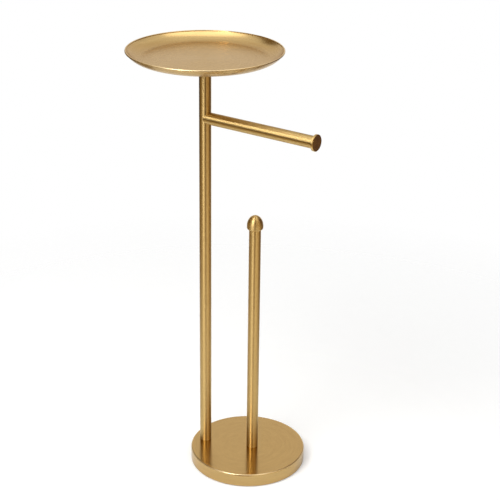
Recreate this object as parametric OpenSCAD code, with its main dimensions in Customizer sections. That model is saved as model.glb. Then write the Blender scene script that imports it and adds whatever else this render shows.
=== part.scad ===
// Free-standing bathroom stand: a weighted round base, a post with a dished tray on top,
// a level arm with an end cap on the post's side, and an upright rod with a domed knob.
// Units are millimetres, +Z is up and the floor is z = 0. The origin is the base's centre on the floor,
// +X runs from the post to the rod, and the arm is turned from that line towards -Y.

/* [Tubes] */
// Outer diameter of the post, the arm and the rod
tube_d = 17; // [15.5:0.5:19]
// Wall of the tubes
tube_t = 1; // [0.8:0.1:1.4]

/* [Base] */
// Diameter of the base
base_d = 170; // [152:1:220]
// Height of the base's top above the floor
base_h = 20; // [18:0.5:28]
// Sheet thickness of the pressed cover
cover_t = 1; // [0.8:0.1:1.4]
// Outer radius of the cover's top edge
cover_edge_r = 2; // [1.6:0.1:3]
// Height of the cover's open lower edge above the floor
skirt_lift = 1.2; // [0.6:0.1:1.8]
// Thickness of the soft pad under the weight
pad_t = 2; // [1.5:0.1:3]
// Distance of the pad's edge inside the weight's edge
pad_inset = 3; // [1:0.5:8]
// Side gap between the weight and the cover's skirt
weight_gap = 0.5; // [0.2:0.1:1]
// Bevel round the weight's edges
weight_bevel = 1.5; // [1:0.1:2.5]

/* [Post] */
// Distance of the post's axis inside the base's edge
post_inset = 19; // [17:0.5:26]
// Length of the post's tube
post_len = 591.5; // [560:0.5:700]
// Length of the threaded plug in the post's foot
post_plug_len = 25; // [22:1:35]
// Length of the threaded plug in the post's top
top_plug_len = 24; // [20:1:35]

/* [Tray] */
// Diameter of the tray over its rolled edge
tray_d = 216; // [180:1:260]
// Height of the tray from its underside to the top of its edge
tray_h = 13.5; // [9:0.5:17]
// Sheet thickness of the tray
tray_t = 1; // [0.8:0.1:1.4]
// Radius of the underside where the floor curves up to the edge
tray_cove_r = 27; // [20:0.5:34]
// Diameter of the rolled edge
tray_bead_d = 2.2; // [1.8:0.1:3]

/* [Tray stud] */
// Thread diameter of the stud welded under the tray
stud_d = 8; // [6:0.5:9]
// Length of the stud below the tray
stud_len = 16; // [10:1:18]
// Diameter of the stud's weld collar
stud_collar_d = 12; // [11:0.5:12.5]
// Thickness of the stud's weld collar
stud_collar_t = 1.2; // [0.8:0.1:2]

/* [Arm] */
// Drop from the tray's underside to the arm's axis
arm_drop = 82.5; // [60:0.5:110]
// Length from the post's axis to the face of the arm's end cap
arm_len = 182; // [150:1:210]
// Turn of the arm about the post, from the line over the rod towards the front
arm_turn = 20; // [-45:1:45]
// Distance from the post's axis at which the saddle-cut end of the arm starts
arm_cope_start = 2.5; // [1:0.5:5]
// Distance from the post's wall to the arm's root plug
root_plug_gap = 1.5; // [1:0.1:3]
// Length of the arm's root plug
root_plug_len = 20; // [15:1:30]
// Length of the plug in the arm's free end
end_plug_len = 16; // [14:1:25]

/* [Arm stud] */
// Thread diameter of the stud that joins the arm to the post
arm_stud_d = 6; // [5:0.5:6.5]
// Length of the arm's stud
arm_stud_len = 28; // [24:1:31]
// Depth of the stud's inner end past the post's axis
arm_stud_past = 5; // [3:0.5:5.5]
// Length of the cross-drilled plug in the post, level with the arm
cross_plug_len = 22; // [16:1:30]

/* [End cap] */
// Diameter of the arm's end cap
cap_d = 23; // [20:0.5:30]
// Thickness of the arm's end cap
cap_t = 3.5; // [2.5:0.1:6]
// Bevel round the end cap's outer face
cap_bevel = 0.5; // [0.2:0.1:1]
// Thread diameter of the end cap's stud
cap_stud_d = 6; // [5:0.5:8]
// Length of the end cap's stud
cap_stud_len = 12; // [8:1:14]

/* [Rod] */
// Distance of the rod's axis past the base's centre
rod_offset = 7; // [0:0.5:12]
// Length of the rod's tube
rod_len = 352; // [300:1:400]
// Length of the threaded plug in the rod's foot
rod_plug_len = 20; // [18:1:30]
// Length of the threaded plug in the rod's top
knob_plug_len = 18; // [16:1:25]

/* [Knob] */
// Diameter of the rod's domed knob
knob_d = 23.2; // [21:0.2:28]
// Height of the knob's dome over its straight band
knob_dome_h = 15.2; // [12:0.2:18]
// Height of the straight band below the dome
knob_band = 2.4; // [1:0.1:5]
// Radius of the knob's rounded lower edge
knob_edge_r = 3.6; // [2:0.1:5]
// Depth of the knob's flat underside below its dome
knob_drop = 5.8; // [5.2:0.1:8]
// Thread diameter of the knob's stud
knob_stud_d = 6; // [5:0.5:8]
// Length of the knob's stud
knob_stud_len = 12; // [8:1:14]

/* [Base fasteners] */
// Thread diameter of the post's bolt
post_bolt_d = 8; // [6.5:0.5:8]
// Length of the post's bolt under its head
post_bolt_len = 30; // [26:1:34]
// Width of the hexagon socket in the post's bolt
post_bolt_hex = 6; // [5:0.5:6.5]
// Thread diameter of the rod's bolt
rod_bolt_d = 6; // [5:0.5:6.5]
// Length of the rod's bolt under its head
rod_bolt_len = 25; // [22:1:28]
// Width of the hexagon socket in the rod's bolt
rod_bolt_hex = 5; // [4:0.5:5.5]
// Thickness of the plain washers
washer_t = 1.6; // [1.2:0.1:2]
// Thickness of the split lock washers
lock_t = 1.8; // [1.4:0.1:2]
// Iron left above the bolts' pockets in the weight
web_t = 5; // [4:0.5:6]

/* [Clearances] */
// Radial gap of a plug in its tube
plug_gap = 0.05; // [0.02:0.01:0.1]
// Radial gap of a thread in its hole
thread_gap = 0.05; // [0.02:0.01:0.1]
// Radial gap of a bolt in a through hole
bolt_gap = 0.3; // [0.2:0.1:0.6]
// Gap between the post's wall and the arm's root
seat_gap = 0.08; // [0.05:0.01:0.15]
// Radial gap round a washer in its pocket
pocket_gap = 1; // [0.6:0.1:1.5]

/* [Hidden] */
$fn = 96;

gold = "#C9A066";
zinc = "#A9ABAD";
iron = "#4A4A4C";
foam = "#26262A";

tube_r = tube_d / 2;
post_offset = base_d / 2 - post_inset;
plug_r = tube_r - tube_t - plug_gap;
under_cover_z = base_h - cover_t;
tray_z = base_h + post_len;
arm_z = tray_z - arm_drop;
tube_end_s = arm_len - cap_t;
rod_top_z = base_h + rod_len;
weight_r = base_d / 2 - cover_t - weight_gap;

// Standard sizes for a thread of diameter d. A socket head is as tall as its thread is wide.
function head_d(d) = 1.5 * d + 1;
function washer_d(d) = 2 * d;
function lock_d(d) = 1.75 * d + 0.5;

// Stack in a bolt's pocket, from the pocket's ceiling down to the seat of the bolt's head
pocket_z = under_cover_z - web_t;
washer_z = pocket_z - washer_t;
lock_z = washer_z - lock_t;
bevel = 0.4;
split_w = 0.8;
split_slant = 35;
// How far a cutting solid passes what it cuts
over = 1;

module at_post() translate([-post_offset, 0, 0]) children();
module at_rod() translate([rod_offset, 0, 0]) children();
// Puts a child that is drawn along +Z on the arm's axis, with z = 0 on the post's axis
module at_arm() translate([-post_offset, 0, arm_z]) rotate([0, 0, -arm_turn]) rotate([0, 90, 0]) children();

// Disc with a bevel round both faces
module bevelled(r, h, b) rotate_extrude()
    polygon([[0, 0], [r - b, 0], [r, b], [r, h - b], [r - b, h], [0, h]]);

module tube(len) difference() {
    cylinder(h = len, r = tube_r);
    translate([0, 0, -over]) cylinder(h = len + 2 * over, r = tube_r - tube_t);
}

// Half of the cover's section, from the axis out to r and up to h, with a round outer top edge
module dished_half(r, h, edge) {
    square([r - edge, h]);
    square([r, h - edge]);
    translate([r - edge, h - edge]) circle(edge);
}

// Countersink of a hole of radius r that opens downwards at z = 0
module mouth(r) translate([0, 0, -over]) cylinder(h = bevel + over, r1 = r + bevel + over, r2 = r);

// Threaded plug with its lower face at z = 0 and bevelled mouths
module plug(len, thread_d) {
    hole_r = thread_d / 2 + thread_gap;
    difference() {
        bevelled(plug_r, len, bevel);
        translate([0, 0, -over]) cylinder(h = len + 2 * over, r = hole_r);
        mouth(hole_r);
        translate([0, 0, len]) mirror([0, 0, 1]) mouth(hole_r);
    }
}

// Screw's shank that rises from z = 0, with a bevelled tip
module shank(d, len) rotate_extrude()
    polygon([[0, 0], [d / 2, 0], [d / 2, len - bevel * 2], [d / 2 - bevel * 2, len], [0, len]]);

// Hexagon socket of the given width across its flats, cut upwards from z = 0
module hex_socket(width, depth) translate([0, 0, -over])
    cylinder(h = depth + over, d = width / cos(30), $fn = 6);

// Socket-head bolt that points up, with the seat of its head at z = 0
module cap_bolt(d, len, hex) difference() {
    union() {
        shank(d, len);
        translate([0, 0, -d]) bevelled(head_d(d) / 2, d, bevel);
    }
    translate([0, 0, -d]) hex_socket(hex, d / 2);
}

module washer(hole_d, outer_d, t) difference() {
    cylinder(h = t, d = outer_d);
    translate([0, 0, -over]) cylinder(h = t + 2 * over, d = hole_d);
}

// Spring washer, pressed flat, with its slanted split
module lock_washer(d) difference() {
    washer(d + bolt_gap, lock_d(d), lock_t);
    translate([d, 0, lock_t / 2]) rotate([split_slant, 0, 0])
        cube([1.2 * d, split_w, 3 * lock_t], center = true);
}

module base_cover() color(gold) difference() {
    rotate_extrude() difference() {
        dished_half(base_d / 2, base_h, cover_edge_r);
        dished_half(base_d / 2 - cover_t, under_cover_z, cover_edge_r - cover_t);
        translate([0, -over]) square([base_d, skirt_lift + over]);
    }
    at_post() translate([0, 0, pocket_z]) cylinder(h = base_h, r = post_bolt_d / 2 + bolt_gap);
    at_rod() translate([0, 0, pocket_z]) cylinder(h = base_h, r = rod_bolt_d / 2 + bolt_gap);
}

// Bolt hole through the weight, with a pocket from below for the head and its washers
module weight_hole(d) {
    cylinder(h = base_h, r = d / 2 + bolt_gap);
    cylinder(h = pocket_z, r = washer_d(d) / 2 + pocket_gap);
}

module base_weight() color(iron) difference() {
    translate([0, 0, pad_t]) bevelled(weight_r, under_cover_z - pad_t, weight_bevel);
    at_post() weight_hole(post_bolt_d);
    at_rod() weight_hole(rod_bolt_d);
}

// The pad's holes let the bolts and their washers in, and keep clear of the pad's centre
module pad_hole(d) translate([0, 0, -over])
    cylinder(h = pad_t + 2 * over, r = washer_d(d) / 2 + bolt_gap);

module base_pad() color(foam) difference() {
    cylinder(h = pad_t, r = weight_r - weight_bevel - pad_inset);
    at_post() pad_hole(post_bolt_d);
    at_rod() pad_hole(rod_bolt_d);
}

module post_tube() color(gold) difference() {
    at_post() translate([0, 0, base_h]) tube(post_len);
    at_arm() cylinder(h = tube_d, r = arm_stud_d / 2 + bolt_gap);
}

module post_foot_plug() color(zinc) at_post() translate([0, 0, base_h]) plug(post_plug_len, post_bolt_d);
module post_bolt() color(zinc) at_post() translate([0, 0, lock_z])
    cap_bolt(post_bolt_d, post_bolt_len, post_bolt_hex);
module post_lock_washer() color(zinc) at_post() translate([0, 0, lock_z]) lock_washer(post_bolt_d);
module post_washer() color(zinc) at_post() translate([0, 0, washer_z])
    washer(post_bolt_d + 2 * bolt_gap, washer_d(post_bolt_d), washer_t);

// The top plug is sunk round its mouth for the stud's weld collar
module post_top_plug() color(zinc) at_post() translate([0, 0, tray_z - top_plug_len]) difference() {
    plug(top_plug_len, stud_d);
    translate([0, 0, top_plug_len - stud_collar_t - bolt_gap])
        cylinder(h = stud_collar_t + over, r = stud_collar_d / 2 + bolt_gap);
}

// Plug across which the arm's stud screws in, with a blind threaded hole on the arm's side
module post_cross_plug() color(zinc) difference() {
    at_post() translate([0, 0, arm_z - cross_plug_len / 2]) bevelled(plug_r, cross_plug_len, bevel);
    at_arm() translate([0, 0, -arm_stud_past - bevel]) cylinder(h = tube_d, r = arm_stud_d / 2 + thread_gap);
}

// The tray's section: a flat floor that curves up into a wall, with a rolled edge on the wall's top
bead_r = tray_bead_d / 2;
bead_z = tray_h - bead_r;
cove_mid_r = tray_cove_r - tray_t / 2;
cove_x = tray_d / 2 - bead_r - sqrt(cove_mid_r ^ 2 - (tray_cove_r - bead_z) ^ 2);

// One side of the sheet: a floor out to the cove's centre, then a circle of radius r about it
module cove_side(r) {
    translate([0, tray_cove_r - r]) square([cove_x, r]);
    translate([cove_x, tray_cove_r]) circle(r);
}

module tray_half() {
    intersection() {
        difference() {
            cove_side(tray_cove_r);
            cove_side(tray_cove_r - tray_t);
        }
        square([tray_d, bead_z]);
    }
    translate([tray_d / 2 - bead_r, bead_z]) circle(bead_r);
}

module tray() color(gold) at_post() translate([0, 0, tray_z]) rotate_extrude() tray_half();

module tray_stud() color(zinc) at_post() translate([0, 0, tray_z]) mirror([0, 0, 1]) {
    cylinder(h = stud_collar_t, d = stud_collar_d);
    shank(stud_d, stud_len);
}

// The arm's root is cut to the post's round wall
module arm_tube() color(gold) difference() {
    at_arm() translate([0, 0, arm_cope_start]) tube(tube_end_s - arm_cope_start);
    at_post() translate([0, 0, base_h]) cylinder(h = post_len, r = tube_r + seat_gap);
}

module arm_root_plug() color(zinc) at_arm() translate([0, 0, tube_r + root_plug_gap])
    plug(root_plug_len, arm_stud_d);

// Stud with a thread on both ends, from the post's cross plug into the arm's root plug
module arm_stud() color(zinc) at_arm() translate([0, 0, -arm_stud_past])
    bevelled(arm_stud_d / 2, arm_stud_len, 2 * bevel);

module arm_end_plug() color(zinc) at_arm() translate([0, 0, tube_end_s - end_plug_len])
    plug(end_plug_len, cap_stud_d);

module arm_end_cap() color(gold) at_arm() translate([0, 0, tube_end_s]) {
    bevelled(cap_d / 2, cap_t, cap_bevel);
    mirror([0, 0, 1]) shank(cap_stud_d, cap_stud_len);
}

module storage_rod() color(gold) at_rod() translate([0, 0, base_h]) tube(rod_len);
module rod_foot_plug() color(zinc) at_rod() translate([0, 0, base_h]) plug(rod_plug_len, rod_bolt_d);
module rod_bolt() color(zinc) at_rod() translate([0, 0, lock_z])
    cap_bolt(rod_bolt_d, rod_bolt_len, rod_bolt_hex);
module rod_lock_washer() color(zinc) at_rod() translate([0, 0, lock_z]) lock_washer(rod_bolt_d);
module rod_washer() color(zinc) at_rod() translate([0, 0, washer_z])
    washer(rod_bolt_d + 2 * bolt_gap, washer_d(rod_bolt_d), washer_t);
module rod_top_plug() color(zinc) at_rod() translate([0, 0, rod_top_z - knob_plug_len])
    plug(knob_plug_len, knob_stud_d);

// Half of the knob's section, with the foot of the dome at the origin's height
module knob_half() {
    r = knob_d / 2;
    intersection() {
        scale([1, knob_dome_h / r]) circle(r);
        square([r, knob_dome_h]);
    }
    intersection() {
        union() {
            translate([0, -knob_band]) square([r, knob_band]);
            translate([r - knob_edge_r, -knob_band]) circle(knob_edge_r);
            translate([0, -knob_drop]) square([r - knob_edge_r, knob_drop]);
        }
        translate([0, -knob_drop]) square([r, knob_drop]);
    }
}

module rod_knob() color(gold) at_rod() translate([0, 0, rod_top_z]) {
    translate([0, 0, knob_drop]) rotate_extrude() knob_half();
    mirror([0, 0, 1]) shank(knob_stud_d, knob_stud_len);
}

base_cover();
base_weight();
base_pad();
post_tube();
post_foot_plug();
post_bolt();
post_lock_washer();
post_washer();
post_top_plug();
post_cross_plug();
tray();
tray_stud();
arm_tube();
arm_root_plug();
arm_stud();
arm_end_plug();
arm_end_cap();
storage_rod();
rod_foot_plug();
rod_bolt();
rod_lock_washer();
rod_washer();
rod_top_plug();
rod_knob();
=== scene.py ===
import math

import bmesh
import bpy
from mathutils import Matrix, Vector

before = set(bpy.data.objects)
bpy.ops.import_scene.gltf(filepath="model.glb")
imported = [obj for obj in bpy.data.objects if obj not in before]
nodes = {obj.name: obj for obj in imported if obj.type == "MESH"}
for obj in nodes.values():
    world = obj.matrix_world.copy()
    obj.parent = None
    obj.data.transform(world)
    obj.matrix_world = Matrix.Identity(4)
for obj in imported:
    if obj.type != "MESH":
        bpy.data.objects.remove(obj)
bpy.context.view_layer.update()
scene = bpy.context.scene
print("frame loaded:", len(nodes), "nodes")

armTurn = math.radians(20)  # the arm is turned towards the viewer
# The lines that the round parts are turned about, in metres
axes = {
    "base": {"at": (0, 0, 0), "along": (0, 0, 1)},
    "post": {"at": (-0.066, 0, 0), "along": (0, 0, 1)},
    "rod": {"at": (0.007, 0, 0), "along": (0, 0, 1)},
    "arm": {"at": (-0.066, 0, 0.529), "along": (math.cos(armTurn), -math.sin(armTurn), 0)},
}


# An sRGB hex colour as linear light
def linear(shade):
    out = []
    for i in (0, 2, 4):
        part = int(shade[i : i + 2], 16) / 255
        out.append(part / 12.92 if part <= 0.04045 else ((part + 0.055) / 1.055) ** 2.4)
    return (*out, 1.0)


# A shader node: plain values are set on its sockets, and sockets of other nodes are linked
def addNode(tree, kind, sockets=None, **settings):
    node = tree.nodes.new("ShaderNode" + kind)
    for name, value in settings.items():
        setattr(node, name, value)
    for name, value in (sockets or {}).items():
        if isinstance(value, bpy.types.NodeSocket):
            tree.links.new(value, node.inputs[name])
        else:
            node.inputs[name].default_value = value
    return node


def newMaterial(name):
    material = bpy.data.materials.new(name)
    material.use_nodes = True
    tree = material.node_tree
    tree.nodes.clear()
    return material, tree


# Each point of a turned part: its place, distance from the axis, height along it, direction round it
def turnedCoords(tree, axis):
    place = addNode(tree, "TexCoord").outputs["Object"]
    rel = addNode(tree, "VectorMath", {0: place, 1: axis["at"]}, operation="SUBTRACT").outputs[0]
    height = addNode(tree, "VectorMath", {0: rel, 1: axis["along"]}, operation="DOT_PRODUCT")
    cross = addNode(tree, "VectorMath", {0: axis["along"], 1: rel}, operation="CROSS_PRODUCT")
    radius = addNode(tree, "VectorMath", {0: cross.outputs[0]}, operation="LENGTH")
    around = addNode(tree, "VectorMath", {0: cross.outputs[0]}, operation="NORMALIZE")
    return place, radius.outputs["Value"], height.outputs["Value"], around.outputs[0]


noiseSpan = {"From Min": 0.3, "From Max": 0.7}  # where nearly all of a noise's values lie


# Noise drawn out round the axis: fine lines of one width in metres, with a few changes a turn
def brushLines(tree, across, around, lines):
    turned = addNode(tree, "VectorMath", {0: around, "Scale": lines["changes"]}, operation="SCALE")
    along = addNode(tree, "Math", {0: across, 1: 1 / lines["width"]}, operation="MULTIPLY")
    place = {"Vector": turned.outputs[0], "W": along.outputs[0]}
    grain = {"Scale": 1.0, "Detail": lines["detail"], "Roughness": 0.6}
    return addNode(tree, "TexNoise", {**place, **grain}, noise_dimensions="4D").outputs["Fac"]


# Steel tube and sheet with a gold coating, brushed round the axis: the reflections draw out across the
# brush lines, so lights become long soft bands and the floor a pale haze
def brushedGold(name, axis, look):
    material, tree = newMaterial(name)
    place, radius, height, around = turnedCoords(tree, axis)
    count = {0: height, 1: look["rise"], 2: radius}
    across = addNode(tree, "Math", count, operation="MULTIPLY_ADD").outputs[0]
    fine = brushLines(tree, across, around, look["fine"])
    broad = brushLines(tree, across, around, look["broad"])
    streaks = addNode(tree, "MapRange", {"Value": broad, **noiseSpan}).outputs["Result"]
    shades = {0: streaks, 6: linear(look["deep"]), 7: linear(look["pale"])}
    shade = addNode(tree, "Mix", shades, data_type="RGBA").outputs[2]
    rough = look["rough"]
    if "edge" in look:  # the rounded edge gets a painted highlight: it is painted paler, towards a pale cream, and is also made duller
        edge = look["edge"]
        off = addNode(tree, "Math", {0: across, 1: edge["at"]}, operation="SUBTRACT").outputs[0]
        off = addNode(tree, "Math", {0: off}, operation="ABSOLUTE").outputs[0]
        fall = {"Value": off, "From Max": edge["width"], "To Min": edge["share"], "To Max": 0.0}
        highlightShare = addNode(tree, "MapRange", fall).outputs["Result"]
        shades = {0: highlightShare, 6: shade, 7: linear(edge["shade"])}
        shade = addNode(tree, "Mix", shades, data_type="RGBA").outputs[2]
        dull = {"Value": highlightShare, "To Min": rough, "To Max": rough + edge["rough"]}
        rough = addNode(tree, "MapRange", dull).outputs["Result"]

    # The roughness varies a little from line to line, and over patches of a hand's breadth, 70 mm
    handled = addNode(tree, "TexNoise", {"Vector": place, "Scale": 14.0, "Detail": 4.0}).outputs["Fac"]
    lines = addNode(tree, "MapRange", {"Value": fine, **noiseSpan, "To Min": -0.5, "To Max": 0.5})
    hands = addNode(tree, "MapRange", {"Value": handled, **noiseSpan, "To Min": -0.35, "To Max": 0.5})
    change = addNode(tree, "Math", {0: lines.outputs["Result"], 1: hands.outputs["Result"]}).outputs[0]
    rough = addNode(tree, "Math", {0: change, 1: look["roughVary"], 2: rough}, operation="MULTIPLY_ADD")
    ridges = addNode(tree, "Math", {0: fine, 1: broad}).outputs[0]
    bump = addNode(tree, "Bump", {"Strength": look["bump"], "Distance": 0.00002, "Height": ridges})
    finish = {
        "Base Color": shade,
        "Metallic": 1.0,
        "Roughness": rough.outputs[0],
        "Anisotropic": look["stretch"],
        "Anisotropic Rotation": 0.25,
        "Tangent": around,
        "Normal": bump.outputs[0],
    }
    metal = addNode(tree, "BsdfPrincipled", finish)
    addNode(tree, "OutputMaterial", {"Surface": metal.outputs[0]})
    return material


# Turned steel with zinc on it: cool grey, satin, with cutting rings
def zincSteel(name, axis, look):
    material, tree = newMaterial(name)
    place, radius, height, around = turnedCoords(tree, axis)
    across = addNode(tree, "Math", {0: radius, 1: height}, operation="SUBTRACT").outputs[0]
    rings = brushLines(tree, across, around, look["rings"])
    bloom = addNode(tree, "TexNoise", {"Vector": place, "Scale": look["bloomScale"], "Detail": 3.0})
    patches = addNode(tree, "MapRange", {"Value": bloom.outputs["Fac"], **noiseSpan}).outputs["Result"]
    shades = {0: patches, 6: linear(look["deep"]), 7: linear(look["pale"])}
    shade = addNode(tree, "Mix", shades, data_type="RGBA").outputs[2]
    sheen = {"Value": rings, **noiseSpan}
    sheen["To Min"], sheen["To Max"] = look["rough"]
    rough = addNode(tree, "MapRange", sheen)
    bump = addNode(tree, "Bump", {"Strength": look["bump"], "Distance": 0.00003, "Height": rings})
    finish = {
        "Base Color": shade,
        "Metallic": 1.0,
        "Roughness": rough.outputs["Result"],
        "Anisotropic": look["stretch"],
        "Anisotropic Rotation": 0.25,
        "Tangent": around,
        "Normal": bump.outputs[0],
    }
    metal = addNode(tree, "BsdfPrincipled", finish)
    addNode(tree, "OutputMaterial", {"Surface": metal.outputs[0]})
    return material


# Cast iron dipped in black paint: a pebbled skin under a low sheen, greyer where the paint is thin
def paintedIron(name, look):
    material, tree = newMaterial(name)
    place = addNode(tree, "TexCoord").outputs["Object"]
    sand = addNode(tree, "TexNoise", {"Vector": place, "Scale": look["sandScale"], "Detail": 4.0})
    thin = addNode(tree, "TexNoise", {"Vector": place, "Scale": look["thinScale"], "Detail": 3.0})
    patches = addNode(tree, "MapRange", {"Value": thin.outputs["Fac"], **noiseSpan}).outputs["Result"]
    shades = {0: patches, 6: linear(look["deep"]), 7: linear(look["pale"])}
    shade = addNode(tree, "Mix", shades, data_type="RGBA").outputs[2]
    sheen = {"Value": thin.outputs["Fac"], **noiseSpan}
    sheen["To Min"], sheen["To Max"] = look["rough"]
    rough = addNode(tree, "MapRange", sheen).outputs["Result"]
    relief = {"Strength": look["bump"], "Distance": 0.0002, "Height": sand.outputs["Fac"]}
    bump = addNode(tree, "Bump", relief).outputs[0]
    finish = {"Base Color": shade, "Roughness": rough, "Normal": bump}
    paint = addNode(tree, "BsdfPrincipled", finish)
    addNode(tree, "OutputMaterial", {"Surface": paint.outputs[0]})
    return material


# Die-cut foam rubber: matt charcoal with small open cells
def cellFoam(name, look):
    material, tree = newMaterial(name)
    place = addNode(tree, "TexCoord").outputs["Object"]
    cells = addNode(tree, "TexVoronoi", {"Vector": place, "Scale": look["cellScale"]})
    dust = addNode(tree, "TexNoise", {"Vector": place, "Scale": look["dustScale"], "Detail": 4.0})
    patches = addNode(tree, "MapRange", {"Value": dust.outputs["Fac"], **noiseSpan}).outputs["Result"]
    shades = {0: patches, 6: linear(look["deep"]), 7: linear(look["pale"])}
    shade = addNode(tree, "Mix", shades, data_type="RGBA").outputs[2]
    relief = {"Strength": look["bump"], "Distance": 0.0002, "Height": cells.outputs["Distance"]}
    bump = addNode(tree, "Bump", relief).outputs[0]
    finish = {"Base Color": shade, "Roughness": look["rough"], "Normal": bump}
    foam = addNode(tree, "BsdfPrincipled", finish)
    addNode(tree, "OutputMaterial", {"Surface": foam.outputs[0]})
    return material


def dress(node, material):
    mesh = nodes[node].data
    mesh.materials.clear()
    mesh.materials.append(material)


# Post and rod: lengths of tube, brushed on a belt as they turn. The brush lines are counted along the
# radius and along the height times "rise", so that they run on over the edges of a part
tubeLook = {
    "rise": -1.0,
    "fine": {"width": 0.00025, "changes": 5.0, "detail": 2.0},  # really about 0.1 mm, too fine to show
    "broad": {"width": 0.004, "changes": 2.0, "detail": 3.0},  # bands where the belt pressed harder
    "deep": "CBAC71",
    "pale": "D2B579",
    "rough": 0.31,
    "roughVary": 0.02,
    "bump": 0.012,
    "stretch": 0.96,
}
dress("post_tube", brushedGold("post brushed gold tube", axes["post"], tubeLook))
dress("storage_rod", brushedGold("rod brushed gold tube", axes["rod"], tubeLook))

armLook = dict(tubeLook, rough=0.41)
dress("arm_tube", brushedGold("arm brushed gold tube", axes["arm"], armLook))

# Base cover and tray: sheet brushed as it is spun. An edge, with its painted highlight, lies where that
# count comes to its "at"
sheetLook = {
    "rise": -1.0,
    "fine": {"width": 0.0003, "changes": 5.0, "detail": 2.0},  # coarser than real here too
    "broad": {"width": 0.005, "changes": 2.0, "detail": 3.0},
    "deep": "C0A16B",
    "pale": "C9AA72",
    "rough": 0.17,
    "roughVary": 0.03,
    "bump": 0.06,
    "stretch": 0.4,
}
# "share" is how much of the painted highlight's pale shade the edge takes, and "rough" how much duller
# it is
baseEdgeHighlight = {"at": 0.065, "width": 0.002, "share": 0.9, "shade": "F4E0B6", "rough": 0.2}
baseLook = dict(sheetLook, edge=baseEdgeHighlight)
dress("base_cover", brushedGold("base spun gold sheet", axes["base"], baseLook))

# The tray's rim gets the same painted highlight, at a smaller share
trayEdgeHighlight = {"at": 0.7324, "width": 0.0018, "share": 0.6, "shade": "F4E0B6", "rough": 0.2}
trayLook = dict(sheetLook, rise=1.0, rough=0.27, edge=trayEdgeHighlight)
dress("tray", brushedGold("tray spun gold sheet", axes["post"], trayLook))

knobLook = dict(tubeLook, rough=0.44, stretch=0.8)
dress("rod_knob", brushedGold("knob turned gold", axes["rod"], knobLook))

capLook = dict(tubeLook, rough=0.24, stretch=0.6)
dress("arm_end_cap", brushedGold("cap turned gold", axes["arm"], capLook))

# Plugs, studs, bolts and washers
zincLook = {
    "rings": {"width": 0.0003, "changes": 1.5, "detail": 2.0},  # the lathe tool's step for each turn
    "bloomScale": 220.0,  # zinc crystals grow in patches of about 5 mm
    "deep": "A9ABA9",
    "pale": "C6C8CC",
    "rough": (0.24, 0.36),
    "bump": 0.25,
    "stretch": 0.4,
}
zincParts = {
    "post": (
        "post_foot_plug",
        "post_bolt",
        "post_lock_washer",
        "post_washer",
        "post_cross_plug",
        "post_top_plug",
        "tray_stud",
    ),
    "rod": ("rod_foot_plug", "rod_bolt", "rod_lock_washer", "rod_washer", "rod_top_plug"),
    "arm": ("arm_root_plug", "arm_stud", "arm_end_plug"),
}
for axis, group in zincParts.items():
    steel = zincSteel(axis + " zinc steel", axes[axis], zincLook)
    for node in group:
        dress(node, steel)

ironLook = {
    "sandScale": 900.0,  # pebbles of about 1 mm, coarser than the sand of the mould so that they show
    "thinScale": 60.0,  # patches of about 17 mm
    "deep": "1B1B1C",
    "pale": "302F2E",
    "rough": (0.42, 0.6),
    "bump": 0.6,
}
dress("base_weight", paintedIron("painted cast iron", ironLook))

foamLook = {
    "cellScale": 1100.0,  # cells of about 0.9 mm
    "dustScale": 45.0,  # patches of about 22 mm
    "deep": "1E1E1F",
    "pale": "2C2B2A",
    "rough": 0.92,
    "bump": 0.5,
}
dress("base_pad", cellFoam("foam rubber", foamLook))
print("materials on", len([n for n in nodes.values() if n.data.materials]), "nodes")

# The camera stands turned round the object by "turn", and the angles of lights and cards count from it
cameraSetup = {
    "turn": math.radians(14.99),
    "lens": 94.83,
    "sensor": 36,
    "place": (0.0, -1.7151, 1.0747),
    "pitch": 23.204,
    "lean": 0.717,
}
cameraData = bpy.data.cameras.new("camera")
cameraData.lens = cameraSetup["lens"]
cameraData.sensor_width = cameraSetup["sensor"]
camera = bpy.data.objects.new("camera", cameraData)
scene.collection.objects.link(camera)
turned = Matrix.Rotation(cameraSetup["turn"], 4, "Z")
tilted = Matrix.Rotation(math.radians(90 - cameraSetup["pitch"]), 4, "X")
leaning = Matrix.Rotation(math.radians(cameraSetup["lean"]), 4, "Z")
camera.matrix_world = turned @ Matrix.Translation(cameraSetup["place"]) @ tilted @ leaning
scene.camera = camera
scene.view_settings.view_transform = "Standard"


# A point at an angle to the left of the viewer, and a distance and height from the base's centre
def aroundObject(angle, distance, height):
    a = math.radians(angle)
    place = Vector((-math.sin(a) * distance, -math.cos(a) * distance, height))
    return Matrix.Rotation(cameraSetup["turn"], 3, "Z") @ place


# Studio floor: matt and near white, fading into the white studio between two distances. The camera
# sees it a little lighter than it is, and the shadow stays
floorSetup = {
    "across": 4.0,
    "segments": 96,
    "colour": "F4F4F3",
    "rough": 0.9,
    "fade": (0.3, 1.0),
    "lift": 0.17,
}
floorMesh = bpy.data.meshes.new("floor")
shape = bmesh.new()
rim = {"segments": floorSetup["segments"], "radius": floorSetup["across"] / 2}
bmesh.ops.create_circle(shape, cap_ends=True, **rim)
shape.to_mesh(floorMesh)
shape.free()
floor = bpy.data.objects.new("floor", floorMesh)
scene.collection.objects.link(floor)
floorSkin, tree = newMaterial("matt white floor")
finish = {"Base Color": linear(floorSetup["colour"]), "Roughness": floorSetup["rough"]}
matt = addNode(tree, "BsdfPrincipled", finish)
clear = addNode(tree, "BsdfTransparent")
place = addNode(tree, "TexCoord").outputs["Object"]
away = addNode(tree, "VectorMath", {0: place}, operation="LENGTH")
near, far = floorSetup["fade"]
reach = {"Value": away.outputs["Value"], "From Min": near, "From Max": far}
fade = addNode(tree, "MapRange", reach).outputs["Result"]
cameraRay = addNode(tree, "LightPath").outputs["Is Camera Ray"]
lift = addNode(tree, "Math", {0: cameraRay, 1: floorSetup["lift"]}, operation="MULTIPLY")
glow = addNode(tree, "Emission", {"Strength": lift.outputs[0]})
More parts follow.
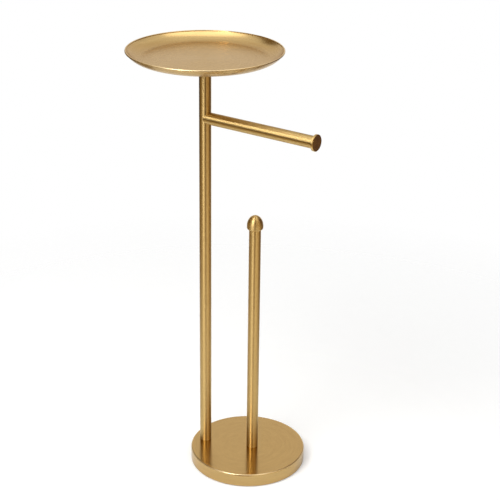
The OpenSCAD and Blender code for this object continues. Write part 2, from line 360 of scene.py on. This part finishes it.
lit = addNode(tree, "AddShader", {0: matt.outputs[0], 1: glow.outputs[0]})
faded = addNode(tree, "MixShader", {0: fade, 1: lit.outputs[0], 2: clear.outputs[0]})
addNode(tree, "OutputMaterial", {"Surface": faded.outputs[0]})
floorMesh.materials.append(floorSkin)

# White studio all round, at a softer level where it lights the floor and the object
studioSetup = {"seen": 1.0, "light": 0.5}
world = bpy.data.worlds.new("studio")
scene.world = world
world.use_nodes = True
tree = world.node_tree
tree.nodes.clear()
rays = addNode(tree, "LightPath").outputs
shown = rays["Is Camera Ray"]
for ray in ("Is Glossy Ray", "Is Transmission Ray"):
    shown = addNode(tree, "Math", {0: shown, 1: rays[ray]}, operation="MAXIMUM").outputs[0]
levels = {"Value": shown, "To Min": studioSetup["light"], "To Max": studioSetup["seen"]}
level = addNode(tree, "MapRange", levels).outputs["Result"]
white = addNode(tree, "Background", {"Color": (1, 1, 1, 1), "Strength": level})
addNode(tree, "OutputWorld", {"Surface": white.outputs[0]})


def softbox(name, angle, distance, height, size, watts, target):
    lamp = bpy.data.lights.new(name, "AREA")
    lamp.shape = "RECTANGLE"
    lamp.size, lamp.size_y = size
    lamp.energy = watts
    obj = bpy.data.objects.new(name, lamp)
    scene.collection.objects.link(obj)
    place = aroundObject(angle, distance, height)
    aim = (Vector(target) - place).to_track_quat("-Z", "Y").to_matrix().to_4x4()
    obj.matrix_world = Matrix.Translation(place) @ aim
    return obj


# A curved sheet outside the picture that glows with its own shade, a dim lamp that only the metal sees
# in its reflections. Its shade goes from the first to the second between the two heights of its grade
def card(name, angles, distance, span, shades, grade):
    mesh = bpy.data.meshes.new(name)
    shape = bmesh.new()
    ends = [shape.verts.new(aroundObject(angles[0], distance, z)) for z in span]
    side = shape.edges.new(ends)
    bmesh.ops.spin(
        shape,
        geom=ends + [side],
        cent=(0, 0, 0),
        axis=(0, 0, 1),
        angle=math.radians(angles[0] - angles[1]),
        steps=16,
    )
    shape.to_mesh(mesh)
    shape.free()
    obj = bpy.data.objects.new(name, mesh)
    scene.collection.objects.link(obj)
    material, tree = newMaterial(name)
    place = addNode(tree, "SeparateXYZ", {0: addNode(tree, "TexCoord").outputs["Object"]})
    climb = {"Value": place.outputs["Z"], "From Min": grade[0], "From Max": grade[1]}
    rise = addNode(tree, "MapRange", climb).outputs["Result"]
    tones = {0: rise, 6: linear(shades[0]), 7: linear(shades[1])}
    tone = addNode(tree, "Mix", tones, data_type="RGBA").outputs[2]
    glow = addNode(tree, "Emission", {"Color": tone, "Strength": 1.0})
    addNode(tree, "OutputMaterial", {"Surface": glow.outputs[0]})
    mesh.materials.append(material)
    obj.visible_camera = False
    obj.visible_diffuse = False
    obj.visible_shadow = False


# Softboxes: angle, distance, height, size, watts, and the point that they face
key = softbox("key softbox", 38, 1.0, 1.15, (0.36, 0.85), 8.6, (0, 0, 0.4))
key.visible_diffuse = False  # it draws the bright bands on the metal and throws no shadow on the floor
fill = softbox("fill softbox", 46, 1.0, 1.4, (0.9, 0.9), 13.5, (0, 0, 0.2))
fill.visible_glossy = False  # it only lights what is matt, such as the floor
softbox("top softbox", 0, 0.5, 2.1, (2.6, 1.2), 15, (0, 0, 0.2))

# Cards: name, angles from and to, distance, bottom and top, shades low and high, and grade
cards = (
    ("dark card front", (12, -14), 0.42, (0.0, 1.2), ("A4804C", "4A2C04"), (0.28, 0.42)),
    ("pale card front right", (-14, -40), 0.42, (0.0, 1.2), ("FFF4DA", "CCB080"), (0.28, 0.42)),
    ("tan card right", (-40, -72), 0.42, (0.0, 0.9), ("ECD6B0", "C4A470"), (0.28, 0.42)),
    ("brown card right", (-72, -88), 0.42, (0.0, 0.9), ("B49C7C", "907850"), (0.28, 0.42)),
    ("dark card back right", (-88, -145), 0.42, (0.0, 0.9), ("A08C70", "604A46"), (0.24, 0.38)),
    ("pale card back", (-145, -215), 1.5, (0.3, 2.6), ("EEE6DA", "EEE6DA"), (0.28, 0.42)),
    ("tan card front left", (12, 62), 0.6, (0.0, 0.5), ("F4E2C2", "6E5220"), (0.2, 0.34)),
    ("brown card left", (62, 95), 0.6, (0.0, 0.45), ("AC946C", "5A4420"), (0.26, 0.38)),
    ("dark card back left", (95, 145), 0.6, (0.0, 0.6), ("9C8864", "1E160A"), (0.26, 0.38)),
    ("tan card left above", (66, 95), 0.6, (0.45, 1.1), ("AA925E", "AA925E"), (0.28, 0.42)),
    ("brown card back left above", (95, 145), 0.6, (0.6, 1.1), ("7A6238", "7A6238"), (0.28, 0.42)),
)
for settings in cards:
    card(*settings)
print("camera, floor and lights set, with", len(cards), "cards")
